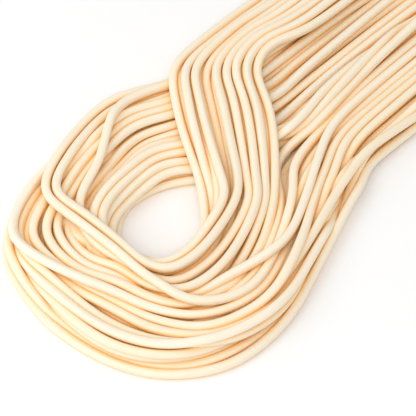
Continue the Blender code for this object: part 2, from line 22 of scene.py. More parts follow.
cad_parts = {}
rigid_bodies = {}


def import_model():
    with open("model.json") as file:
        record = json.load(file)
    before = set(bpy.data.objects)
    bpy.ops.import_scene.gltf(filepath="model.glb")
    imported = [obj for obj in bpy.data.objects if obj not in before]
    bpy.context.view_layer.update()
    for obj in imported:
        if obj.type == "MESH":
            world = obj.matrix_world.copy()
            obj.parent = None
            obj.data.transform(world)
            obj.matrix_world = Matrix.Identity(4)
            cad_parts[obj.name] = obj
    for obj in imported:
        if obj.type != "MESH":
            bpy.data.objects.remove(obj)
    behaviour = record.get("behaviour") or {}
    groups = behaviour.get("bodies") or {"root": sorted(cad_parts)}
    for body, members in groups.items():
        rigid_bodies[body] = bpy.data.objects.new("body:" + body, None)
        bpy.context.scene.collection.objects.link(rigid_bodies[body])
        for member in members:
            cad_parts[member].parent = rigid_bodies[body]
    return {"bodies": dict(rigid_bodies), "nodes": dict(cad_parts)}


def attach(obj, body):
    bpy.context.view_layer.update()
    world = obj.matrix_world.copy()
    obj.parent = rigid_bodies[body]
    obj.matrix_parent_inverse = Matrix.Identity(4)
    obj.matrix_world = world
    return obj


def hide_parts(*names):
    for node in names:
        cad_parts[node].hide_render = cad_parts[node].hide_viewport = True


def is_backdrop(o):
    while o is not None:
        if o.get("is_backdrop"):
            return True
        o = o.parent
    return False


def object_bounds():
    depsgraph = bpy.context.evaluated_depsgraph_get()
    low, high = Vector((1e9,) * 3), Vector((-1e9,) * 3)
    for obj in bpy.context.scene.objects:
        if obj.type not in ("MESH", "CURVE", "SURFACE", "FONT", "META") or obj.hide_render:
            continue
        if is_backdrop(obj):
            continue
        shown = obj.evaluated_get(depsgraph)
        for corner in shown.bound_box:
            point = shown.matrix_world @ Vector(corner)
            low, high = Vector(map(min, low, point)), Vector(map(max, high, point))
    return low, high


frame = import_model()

LOG = logging.getLogger("udon_bundle")
NODE = "noodle_bundle"
BODY = "root"
METRES = 0.001

NOODLE_WIDTH = 2.7      # across a noodle, in millimetres
CONTACT = 0.02          # by which noodles that touch press into each other, in millimetres

Point = tuple[float, float]
Edges = tuple[Point, Point]
Feed = float | bpy.types.NodeSocket     # a number, or the socket that gives it


# --------------------------------------------------------------------------------------------
# Plan of the band, in millimetres
# --------------------------------------------------------------------------------------------


def across(x: float, near: float, far: float) -> Edges:
    """Gives a station that crosses a leg at x, by the y of its two edges."""
    return ((x, near), (x, far))


LOOP: tuple[Edges, ...] = (
    ((-2.0, -2.4), (31.3, -26.2)),
    ((-9.9, -9.9), (10.3, -35.5)),
    ((-18.4, -12.9), (-9.7, -43.0)),
    ((-26.9, -11.2), (-29.6, -42.8)),
    ((-30.3, -6.1), (-46.0, -35.8)),
    ((-31.3, -0.3), (-56.6, -21.0)),
    ((-31.1, 6.1), (-59.4, 1.8)),
    ((-25.3, 12.3), (-56.5, 23.4)),
    ((-19.2, 15.7), (-42.5, 33.3)),
    ((-11.1, 16.2), (-24.0, 39.3)),
    ((-2.6, 14.0), (-2.3, 45.0)),
    ((5.6, 9.1), (14.5, 40.9)),
)
WAY_BACK: tuple[Edges, ...] = (
    ((16.5, 4.4), (27.7, 39.4)),
    ((33.3, 0.3), (42.3, 43.4)),
    ((54.6, 3.0), (59.8, 43.8)),
    ((86.0, 6.2), (89.0, 45.2)),
    ((144.0, 9.6), (147.0, 50.0)),
)
ROUND = LOOP + WAY_BACK


@dataclass(frozen=True)
class Course:
    """The way of a noodle that lies on top, at each of the loop's stations.

    Attributes:
        places: across the band, from 0 at the hole to 1 at the rim.
        layers: how many noodles it lies above the lowest.
        approach: its place and layer at the leg's last station, where it leaves the order there.
    """

    places: tuple[float, ...]
    layers: tuple[float, ...]
    approach: tuple[float, float] | None = None


TOP_COURSES = (
    Course(
        (-0.02, 0.02, -0.01, -0.01, 0.02, 0.06, 0.10, 0.06, 0.00, 0.02, 0.07, 0.06, 0.04),
        (1.4, 0.6, 0.6, 0.6, 0.6, 0.6, 0.6, 0.8, 1.0, 1.0, 0.8, 0.8, 0.6),
    ),
    Course(
        (0.05, 0.07, 0.04, 0.04, 0.06, 0.10, 0.14, 0.12, 0.06, 0.08, 0.13, 0.13, 0.12),
        (1.2, 0.6, 0.6, 0.6, 0.6, 0.6, 0.8, 1.4, 1.6, 1.6, 1.2, 0.8, 0.6),
    ),
    Course(
        (0.12, 0.015, -0.01, 0.01, 0.04, 0.10, 0.17, 0.16, 0.13, 0.15, 0.21, 0.21, 0.20),
        (1.8, 1.8, 1.6, 1.6, 1.4, 1.2, 1.2, 1.6, 1.8, 1.8, 1.4, 0.8, 0.6),
    ),
    Course(
        (0.18, 0.10, 0.08, 0.10, 0.10, 0.14, 0.20, 0.21, 0.20, 0.23, 0.30, 0.31, 0.30),
        (0.8, 0.6, 0.6, 0.6, 0.6, 0.6, 1.0, 1.6, 2.0, 2.0, 1.6, 0.8, 0.6),
    ),
    Course(
        (0.205, 0.115, 0.085, 0.11, 0.08, 0.04, 0.07, 0.29, 0.71, 0.87, 0.93, 0.93, 0.90),
        (1.8, 1.8, 1.6, 1.8, 2.8, 3.8, 4.4, 4.8, 4.2, 2.6, 1.6, 0.6, 0.6),
    ),
    Course(
        (0.30, 0.235, 0.19, 0.21, 0.17, 0.13, 0.22, 0.33, 0.45, 0.56, 0.88, 1.00, 0.90),
        (1.8, 1.8, 1.6, 1.6, 1.6, 1.6, 1.8, 2.0, 3.2, 4.6, 4.2, 1.8, 0.8),
    ),
    Course(
        (0.365, 0.34, 0.33, 0.36, 0.27, 0.19, 0.36, 0.47, 0.47, 0.50, 0.57, 0.58, 0.58),
        (1.8, 1.8, 1.6, 1.6, 1.6, 1.8, 1.8, 1.8, 2.2, 2.4, 1.8, 1.2, 0.8),
    ),
    Course(
        (0.42, 0.42, 0.42, 0.43, 0.32, 0.27, 0.45, 0.57, 0.58, 0.66, 0.66, 0.67, 0.67),
        (1.8, 1.8, 1.6, 1.6, 1.6, 1.8, 1.8, 1.8, 2.2, 2.4, 1.8, 1.2, 0.8),
    ),
    Course(
        (0.48, 0.54, 0.52, 0.49, 0.39, 0.35, 0.55, 0.67, 0.66, 0.75, 0.75, 0.76, 0.76),
        (1.8, 1.8, 1.8, 1.8, 1.8, 1.8, 1.8, 1.8, 1.8, 1.8, 1.6, 1.0, 0.8),
    ),
)
SIDE_COURSES = (
    Course(
        (0.545, 0.62, 0.60, 0.53, 0.44, 0.38, 0.30, 0.25, 0.26, 0.30, 0.38, 0.40, 0.42),
        (1.8, 1.8, 1.6, 1.0, 0.6, 0.6, 0.6, 1.2, 2.0, 2.2, 1.8, 1.0, 0.8),
        approach=(-0.08, 3.4),
    ),
    Course(
        (0.63, 0.68, 0.69, 0.52, 0.23, 0.15, 0.18, 0.40, 0.82, 1.00, 1.03, 0.98, 0.95),
        (1.8, 2.2, 3.0, 4.2, 4.8, 4.8, 5.0, 4.8, 4.0, 2.4, 1.2, 0.6, 0.6),
        approach=(0.19, 3.4),
    ),
    Course(
        (0.72, 0.73, 0.46, 0.42, 0.30, 0.22, 0.22, 0.31, 0.34, 0.39, 0.47, 0.49, 0.50),
        (3.6, 4.4, 4.4, 2.2, 1.0, 0.6, 0.6, 1.2, 2.0, 2.2, 1.8, 1.0, 0.8),
        approach=(0.47, 4.4),
    ),
    Course(
        (0.67, 0.73, 0.75, 0.62, 0.49, 0.47, 0.67, 0.95, 1.01, 0.95, 0.87, 0.86, 0.86),
        (0.8, 1.2, 1.8, 2.6, 3.0, 3.4, 3.6, 3.0, 1.6, 0.8, 0.6, 0.6, 0.6),
        approach=(0.33, 2.4),
    ),
    Course(
        (0.79, 0.885, 0.90, 0.80, 0.60, 0.53, 0.66, 0.80, 0.79, 0.82, 0.82, 0.83, 0.83),
        (1.8, 1.8, 1.8, 2.0, 1.8, 1.4, 1.4, 1.8, 1.6, 1.2, 1.2, 0.8, 0.8),
        approach=(0.62, 3.4),
    ),
    Course(
        (0.86, 0.93, 0.94, 0.88, 0.70, 0.60, 0.71, 0.86, 0.90, 0.89, 0.88, 0.88, 0.88),
        (1.2, 1.0, 0.8, 1.0, 2.0, 2.4, 1.8, 1.4, 1.2, 1.0, 0.8, 0.6, 0.6),
        approach=(0.74, 3.0),
    ),
    Course(
        (0.92, 0.96, 0.98, 0.92, 0.80, 0.75, 0.79, 0.90, 0.95, 0.94, 0.92, 0.92, 0.92),
        (1.0, 0.8, 0.6, 0.6, 1.4, 1.6, 1.6, 1.0, 0.8, 0.6, 0.6, 0.6, 0.6),
        approach=(0.80, 2.4),
    ),
    Course(
        (0.94, 0.98, 0.99, 0.94, 0.87, 0.84, 0.88, 0.94, 0.97, 0.98, 0.96, 0.95, 0.95),
        (0.6, 0.6, 0.6, 1.0, 1.4, 1.4, 1.4, 0.8, 0.6, 0.4, 0.4, 0.4, 0.4),
        approach=(0.88, 2.0),
    ),
    Course(
        (0.97, 1.00, 0.98, 0.97, 0.93, 0.90, 0.95, 0.96, 0.98, 0.99, 0.98, 0.97, 0.97),
        (0.2, 0.2, 0.0, 0.0, 0.2, 0.4, 0.6, 0.4, 0.2, 0.2, 0.2, 0.2, 0.2),
        approach=(0.95, 1.4),
    ),
    Course(
        (1.02, 1.05, 1.08, 1.10, 1.00, 0.96, 1.02, 0.99, 1.00, 0.98, 1.00, 1.00, 0.99),
        (0.0, 0.0, 0.0, 0.0, 0.0, 0.0, 0.0, 0.0, 0.0, 0.0, 0.0, 0.0, 0.0),
        approach=(1.05, 1.0),
    ),
)


class Tier(Enum):
    """Whether a noodle lies on top of its leg or in the layer under that."""

    TOP = "top"
    UNDER = "under"


@dataclass(frozen=True)
class LegPlan:
    """One leg of the bundle and the part of the loop that its noodles take.

    Attributes:
        name: what the leg's piece is called.
        stations: the leg's stations from its cut end to the loop.
        layers: the layer of its lowest noodles at each of those.
        loop_start: where its noodles start across the loop's stations, as a share of the width.
        loop_share: how much of that width they take.
        courses: the noodles on top, in their order across the leg.
        under: how many noodles lie under those.
    """

    name: str
    stations: tuple[Edges, ...]
    layers: tuple[float, ...]
    loop_start: tuple[float, ...]
    loop_share: tuple[float, ...]
    courses: tuple[Course, ...]
    under: int

    def tiers(self) -> list[tuple[Tier, int, float]]:
        """Lists the leg's noodles in the order in which they are laid.

        Returns:
            For each noodle its tier, its number there and its place across the leg.
        """
        last = len(self.courses) - 1
        top = [(Tier.TOP, n, n / last) for n in range(last + 1)]
        low = [(Tier.UNDER, n, (n + 0.5) / self.under) for n in range(self.under)]
        return top + low


TOP_LOOP_SHARE = (0.42, 0.45, 0.49, 0.49, 0.493, 0.50, 0.507, 0.513) + (0.52,) * 9
SIDE_LOOP_START = (0.44, 0.48, 0.52) + (0.55,) * 14

TOP_LEG = LegPlan(
    name="top_leg_noodles",
    stations=(
        across(146.0, 55.5, 32.0),
        across(104.0, 52.7, 30.0),
        across(63.5, 49.3, 26.8),
        ((45.8, 47.0), (49.9, 29.8)),
        ((22.5, 42.0), (40.0, 25.2)),
        ((14.2, 32.3), (34.4, 12.2)),
        ((7.3, 18.7), (26.1, 0.0)),
        ((2.4, 6.1), (17.7, -9.9)),
    ),
    layers=(4.4, 4.4, 4.4, 4.6, 5.0, 5.0, 4.6, 3.4),
    loop_start=(0.0,) * len(TOP_LOOP_SHARE),
    loop_share=TOP_LOOP_SHARE,
    courses=TOP_COURSES,
    under=8,
)
SIDE_LEG = LegPlan(
    name="side_leg_noodles",
    stations=(
        across(144.5, 11.4, -13.6),
        across(99.5, 8.0, -16.3),
        across(66.5, 4.7, -18.6),
        across(46.5, 0.2, -19.9),
        ((26.0, -4.0), (38.0, -23.0)),
    ),
    layers=(3.6, 3.6, 3.4, 3.0, 2.4),
    loop_start=SIDE_LOOP_START,
    loop_share=tuple(1 - start for start in SIDE_LOOP_START),
    courses=SIDE_COURSES,
    under=9,
)


# --------------------------------------------------------------------------------------------
# Lines in plan
# --------------------------------------------------------------------------------------------

SPLINE_REACH = 4        # knots that a place on a cubic spline reads
SPLINE_END = 2.001      # how far before the end of the knots the last place lies


def smooth_through(knots: np.ndarray, values: np.ndarray, where: np.ndarray) -> np.ndarray:
    """Reads a smooth curve through given values at other places along it.

    Args:
        knots: places of the given values, rising.
        values: the given values, one row a knot.
        where: places to read the curve at.

    Returns:
        One row of values for each place.
    """
    slope = np.empty_like(values)
    slope[1:-1] = (values[2:] - values[:-2]) / (knots[2:] - knots[:-2])[:, None]
    slope[0] = (values[1] - values[0]) / (knots[1] - knots[0])
    slope[-1] = (values[-1] - values[-2]) / (knots[-1] - knots[-2])
    left = np.clip(np.searchsorted(knots, where, side="right") - 1, 0, len(knots) - 2)
    span = (knots[left + 1] - knots[left])[:, None]
    t = (where - knots[left])[:, None] / span
    return (
        (2 * t**3 - 3 * t**2 + 1) * values[left]
        + (t**3 - 2 * t**2 + t) * span * slope[left]
        + (3 * t**2 - 2 * t**3) * values[left + 1]
        + (t**3 - t**2) * span * slope[left + 1]
    )


def run_along(line: np.ndarray) -> np.ndarray:
    """Gives the length of a line up to each of its points."""
    steps = np.linalg.norm(np.diff(line, axis=0), axis=1)
    return np.concatenate(([0.0], np.cumsum(steps)))


def read_columns(at: np.ndarray, run: np.ndarray, line: np.ndarray) -> np.ndarray:
    """Reads each column of a line at other lengths along it, straight between its points."""
    return np.column_stack([np.interp(at, run, column) for column in line.T])


def row_products(first: np.ndarray, second: np.ndarray) -> np.ndarray:
    """Gives the scalar product of each row of one array with the same row of another."""
    return np.einsum("ij,ij->i", first, second)


def slow_wander(count: int, stride: int, size: float, rng: np.random.Generator) -> np.ndarray:
    """Makes a slow random wander, read from a cubic spline.

    Args:
        count: how many values.
        stride: how many of them lie between two turns.
        size: the spread of the turns.
        rng: the seeded source of chance.

    Returns:
        The values in order.
    """
    knots = rng.normal(size=count // stride + SPLINE_REACH) * size
    place = np.linspace(1, len(knots) - SPLINE_END, count)
    knot = place.astype(int)
    t = place - knot
    return (
        (1 - t) ** 3 * knots[knot - 1]
        + (3 * t**3 - 6 * t**2 + 4) * knots[knot]
        + (-3 * t**3 + 3 * t**2 + 3 * t + 1) * knots[knot + 1]
        + t**3 * knots[knot + 2]
    ) / 6


@dataclass
class NoodleLaying:
    """Lays noodles one by one along the band, as sizes in millimetres and shares of its width.

    Attributes:
        width: across a noodle.
        wander: how far a noodle strays from its place across the band.
        wander_stations: stations between two turns of that.
        kept_within: places across the band between which the covered noodles keep.
        shuffle: how far a noodle has changed its place when it runs back.
        shuffle_start: station of the loop from which it does so.
        shuffle_stations: stations that the change takes.
        loop_layer: layer of the loop's lowest noodles.
        loop_rise: how much higher they are where they come off the legs.
        sketch_points: points along the curve that is smoothed.
        bend_rounds: rounds of smoothing that give a noodle its stiffness.
        lay_points: points along a finished axis.
    """

    width: float = NOODLE_WIDTH
    wander: float = 0.045
    wander_stations: int = 4
    kept_within: tuple[float, float] = (0.05, 0.93)
    shuffle: float = 0.16
    shuffle_start: int = 6
    shuffle_stations: int = 5
    loop_layer: float = 0.6
    loop_rise: tuple[float, ...] = (1.0, 0.4)
    sketch_points: int = 1500
    bend_rounds: int = 400
    lay_points: int = 170

    def axis(self, leg: LegPlan, places: np.ndarray, layers: np.ndarray) -> np.ndarray:
        """Draws one noodle's axis through its place at every station.

        Args:
            leg: the leg that it comes in along.
            places: its place across the band, station by station.
            layers: its layer, station by station.

        Returns:
            Points along the axis as rows of x, y, z and station.
        """
        edges = np.array(leg.stations + ROUND)
        share = places[:, None]
        plan = edges[:, 0] * (1 - share) + edges[:, 1] * share
        stations = np.arange(len(edges)) - len(leg.stations)
        points = np.column_stack((plan, layers * self.width, stations))
        steps = np.linalg.norm(np.diff(plan, axis=0), axis=1)
        knots = np.concatenate(([0.0], np.cumsum(np.sqrt(steps))))
        line = smooth_through(knots, points, np.linspace(0.0, knots[-1], self.sketch_points))
        for _ in range(self.bend_rounds):
            middle = 0.5 * (line[:-2, :2] + line[2:, :2])
            line[1:-1, :2] += 0.5 * (middle - line[1:-1, :2])
        run = run_along(line[:, :2])
        return read_columns(np.linspace(0.0, run[-1], self.lay_points), run, line)

    def lay(
        self, leg: LegPlan, tier: Tier, number: int, place: float, rng: np.random.Generator
    ) -> np.ndarray:
        """Lays one noodle.

        Args:
            leg: the leg that it comes in along.
            tier: whether it lies on top there.
            number: its number in that tier.
            place: its place across the leg.
            rng: the seeded source of chance.

        Returns:
            Its axis, as axis() gives it.
        """
        layer = 1.0 if tier is Tier.TOP else 0.0
        before = len(leg.stations)
        loop_places = np.array(leg.loop_start) + np.array(leg.loop_share) * place
        stations = np.arange(len(ROUND))
        change = np.clip((stations - self.shuffle_start) / self.shuffle_stations, 0.0, 1.0)
        going_back = np.clip(loop_places + rng.normal() * self.shuffle, 0.0, 1.0)
        loop_places = loop_places * (1 - change) + going_back * change
        loop_layers = np.full(len(ROUND), self.loop_layer + layer)
        loop_layers[: len(self.loop_rise)] += self.loop_rise
        places = np.concatenate((np.full(len(leg.stations), place), loop_places))
        wander = slow_wander(len(places), self.wander_stations, self.wander, rng)
        places = np.clip(places + wander, *self.kept_within)
        layers = np.concatenate((np.array(leg.layers) + layer, loop_layers))
        if tier is Tier.TOP:
            course = leg.courses[number]
            known = slice(before, before + len(course.places))
            places[:before] = place
            places[known] = course.places
            layers[known] = course.layers
            if course.approach:
                places[before - 1], layers[before - 1] = course.approach
        return self.axis(leg, places, layers)

    def lay_all(self, rng: np.random.Generator) -> np.ndarray:
        """Lays every noodle of both legs, the top leg's first.

        Args:
            rng: the seeded source of chance.

        Returns:
            All axes, by noodle, point and column.
        """
        return np.array(
            [
                self.lay(leg, tier, number, place, rng)
                for leg in (TOP_LEG, SIDE_LEG)
                for tier, number, place in leg.tiers()
            ]
        )


@dataclass(frozen=True)
class PackingStage:
    """One stage of packing.

    Attributes:
        rounds: how many rounds it takes.
        sink: how far the noodles sink in a round, in millimetres.
        hold: how firmly they are held over their place in plan, as a share.
        stiffness: how far a noodle's height evens out along it, as a share.
    """

    rounds: int
    sink: float
    hold: float
    stiffness: float


@dataclass
class Packing:
    """Lets laid noodles sink until they lie on each other, with none cutting another.

    Lengths are in millimetres.

    Attributes:
        width: the least distance between two axes.
        stages: the stages in order.
        jitter: small first offset, which lets noodles slide off each other.
        pair_reach: distance within which two stretches are watched.
        pair_rounds: rounds between two searches for such pairs.
        own_steps: steps along one noodle within which it can't meet itself.
        push: share of an overlap that a round takes away.
        parallel: slant, as the square of a sine, below which two stretches count as parallel.
        least: distance below which two axes count as this far apart.
        shift_smoothing: rounds that even out how far a noodle moves sideways.
        height_smoothing: rounds that even out its height.
        end_unevenness: by how much the cut ends differ.
    """

    width: float = NOODLE_WIDTH
    stages: tuple[PackingStage, ...] = (
        PackingStage(rounds=400, sink=0.02, hold=0.05, stiffness=0.4),
        PackingStage(rounds=150, sink=0.003, hold=0.02, stiffness=0.3),
    )
    jitter: float = 0.05
    pair_reach: float = 5.0
    pair_rounds: int = 25
    own_steps: int = 6
    push: float = 0.9
    parallel: float = 1e-6
    least: float = 1e-6
    shift_smoothing: int = 5
    height_smoothing: int = 2
    end_unevenness: float = 5.0

    def near_pairs(self, lines: np.ndarray) -> tuple[np.ndarray, np.ndarray]:
        """Finds pairs of noodle stretches that lie close enough to touch.

        Args:
            lines: axes by noodle, point and coordinate.

        Returns:
            For each pair, the first point of the one stretch and of the other.
        """
        count = lines.shape[1]
        middles = (0.5 * (lines[:, 1:] + lines[:, :-1])).reshape(-1, 3)
        tree = KDTree(len(middles))
        for index, middle in enumerate(middles):
            tree.insert(middle, index)
        tree.balance()
        pairs = np.array(
            sorted(
                (index, other)
                for index, middle in enumerate(middles)
                for _, other, _ in tree.find_range(middle, self.pair_reach)
                if other > index
            )
        )
        noodle, step = np.divmod(pairs, count - 1)
        same = noodle[:, 0] == noodle[:, 1]
        apart = ~same | (np.abs(step[:, 0] - step[:, 1]) > self.own_steps)
        starts = noodle * count + step
        return starts[apart, 0], starts[apart, 1]

    def nearest_places(
        self, points: np.ndarray, first: np.ndarray, second: np.ndarray
    ) -> tuple[np.ndarray, np.ndarray, np.ndarray]:
        """Finds where each pair of stretches comes closest.

        Args:
            points: every point of every axis.
            first: first point of the one stretch.
            second: first point of the other.

        Returns:
            The share along each of the two, and the way from the second to the first.
        """
        one = points[first + 1] - points[first]
        two = points[second + 1] - points[second]
        gap = points[first] - points[second]
        one_one = row_products(one, one)
        two_two = row_products(two, two)
        one_two = row_products(one, two)
        one_gap = row_products(one, gap)
        two_gap = row_products(two, gap)
        slant = one_one * two_two - one_two * one_two
        slanted = slant > self.parallel * one_one * two_two
        crossing = (one_two * two_gap - one_gap * two_two) / np.where(slanted, slant, 1.0)
        on_one = np.clip(np.where(slanted, crossing, 0.5), 0.0, 1.0)
        on_two = np.clip((one_two * on_one + two_gap) / two_two, 0.0, 1.0)
        on_one = np.clip((one_two * on_two - one_gap) / one_one, 0.0, 1.0)
        return on_one, on_two, gap + one * on_one[:, None] - two * on_two[:, None]

    def push_apart(
        self, lines: np.ndarray, first: np.ndarray, second: np.ndarray
    ) -> np.ndarray:
        """Moves touching stretches off each other.

        Args:
            lines: axes by noodle, point and coordinate.
            first: first point of the one stretch of each pair.
            second: first point of the other.

        Returns:
            The moved axes.
        """
        points = lines.reshape(-1, 3)
        on_one, on_two, way = self.nearest_places(points, first, second)
        distance = np.linalg.norm(way, axis=1)
        touching = distance < self.width
        first, second = first[touching], second[touching]
        on_one, on_two = on_one[touching], on_two[touching]
        distance = np.maximum(distance[touching], self.least)
        push = way[touching] / distance[:, None] * (self.width - distance)[:, None]
        shares = np.stack((1 - on_one, on_one, 1 - on_two, on_two))
        owners = np.concatenate((first, first + 1, second, second + 1))
        signed = shares * np.array([1, 1, -1, -1])[:, None] / (shares**2).sum(axis=0)
        moves = np.tile(push, (4, 1)) * signed.reshape(-1, 1)
        size = len(points)
        load = np.bincount(owners, shares.reshape(-1), minlength=size)
        columns = [np.bincount(owners, moves[:, axis], minlength=size) for axis in range(3)]
        points += self.push * np.stack(columns, axis=1) / np.maximum(load, 1.0)[:, None]
        return points.reshape(lines.shape)

    def ease_apart(self, lines: np.ndarray, rng: np.random.Generator) -> np.ndarray:
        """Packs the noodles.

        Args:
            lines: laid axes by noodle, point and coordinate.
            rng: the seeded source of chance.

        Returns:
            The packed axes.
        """
        home = lines.copy()
        lines = lines + rng.normal(size=lines.shape) * self.jitter
        for stage in self.stages:
            for turn in range(stage.rounds):
                if turn % self.pair_rounds == 0:
                    first, second = self.near_pairs(lines)
                lines[..., 2] -= stage.sink
                shift = (lines - home)[..., :2]
                for _ in range(self.shift_smoothing):
                    middle = 0.5 * (shift[:, :-2] + shift[:, 2:])
                    shift[:, 1:-1] += 0.5 * (middle - shift[:, 1:-1])
                lines[..., :2] = home[..., :2] + shift * (1 - stage.hold)
                height = lines[..., 2]
                for _ in range(self.height_smoothing):
                    middle = 0.5 * (height[:, :-2] + height[:, 2:])
                    height[:, 1:-1] += stage.stiffness * (middle - height[:, 1:-1])
                lines = self.push_apart(lines, first, second)
                lines[..., 2] = np.maximum(lines[..., 2], self.width / 2)
        return lines

    def trim_ends(self, line: np.ndarray, rng: np.random.Generator) -> np.ndarray:
        """Cuts a noodle a little shorter at both ends.

        Args:
            line: points as rows of x, y, z and station.
            rng: the seeded source of chance.

        Returns:
            The shorter axis, with as many points.
        """
        run = run_along(line[:, :3])
        first, last = rng.uniform(0.0, self.end_unevenness, 2)
        return read_columns(np.linspace(first, run[-1] - last, len(line)), run, line)


@dataclass
class BundleAxes:
    """The axes of all noodles as they lie, in millimetres, centred over the origin.

    Attributes:
        seed: start of every random draw.
        reach: how far a noodle's side stands out from its axis in the solid.
        laying: how the noodles are laid.
        packing: how they are packed.
        lines: the axes, by noodle, point and coordinate.
        stations: the station at each point.
        move: how far the bundle was moved to centre it.
    """

    seed: int = 7
    reach: float = 1.5
    laying: NoodleLaying = field(default_factory=NoodleLaying)
    packing: Packing = field(default_factory=Packing)
    lines: np.ndarray = field(init=False)
    stations: np.ndarray = field(init=False)
    move: np.ndarray = field(init=False)

    def __post_init__(self) -> None:
        """Lays, packs, trims and centres the noodles."""
        rng = np.random.default_rng(self.seed)
        laid = self.laying.lay_all(rng)
        laid[..., :3] = self.packing.ease_apart(laid[..., :3], rng)
        laid = np.array([self.packing.trim_ends(line, rng) for line in laid])
        low = laid[..., :2].min(axis=(0, 1)) - self.reach
        high = laid[..., :2].max(axis=(0, 1)) + (0.0, self.reach)
        self.move = -(low + high) / 2
        laid[..., :2] += self.move
        self.lines = laid[..., :3]
        self.stations = laid[..., 3]


# --------------------------------------------------------------------------------------------
# Finishes
# --------------------------------------------------------------------------------------------


class Graph:
    """A node tree that is being built: adds nodes, sets their values and links them."""

    def __init__(self, tree: bpy.types.NodeTree) -> None:
        """Takes the tree that the nodes go into."""
        self.tree = tree

    def add(
        self, kind: str, inputs: dict[str | int, object] | None = None, **settings: object
    ) -> bpy.types.Node:
        """Adds one node.

        Args:
            kind: the node's type name.
            inputs: by the input's name or number, a value or the socket that feeds it.
            settings: properties of the node.

        Returns:
            The node.
        """
        node = self.tree.nodes.new(kind)
        for name, value in settings.items():
            setattr(node, name, value)
        for key, value in (inputs or {}).items():
            if isinstance(value, bpy.types.NodeSocket):
                self.tree.links.new(value, self._input(node, key))
            else:
                self._input(node, key).default_value = value
        return node

    def _input(self, node: bpy.types.Node, key: str | int) -> bpy.types.NodeSocket:
        """Finds one of a node's inputs.

        Args:
            node: the node.
            key: the input's number, or its name among those that the node's settings leave in use.

        Returns:
            The input.
        """
        if isinstance(key, int):
            return node.inputs[key]
        return next(socket for socket in node.inputs if socket.name == key and socket.enabled)

    def math(self, operation: str, *terms: Feed) -> bpy.types.NodeSocket:
        """Adds a Math node, which both kinds of tree take, and gives its result."""
        return self.add("ShaderNodeMath", dict(enumerate(terms)), operation=operation).outputs[0]

    def named(self, name: str) -> bpy.types.NodeSocket:
        """Reads a number that is stored under a name on the points of a Geometry Nodes tree."""
        node = self.add("GeometryNodeInputNamedAttribute", {"Name": name}, data_type="FLOAT")
        return node.outputs[0]


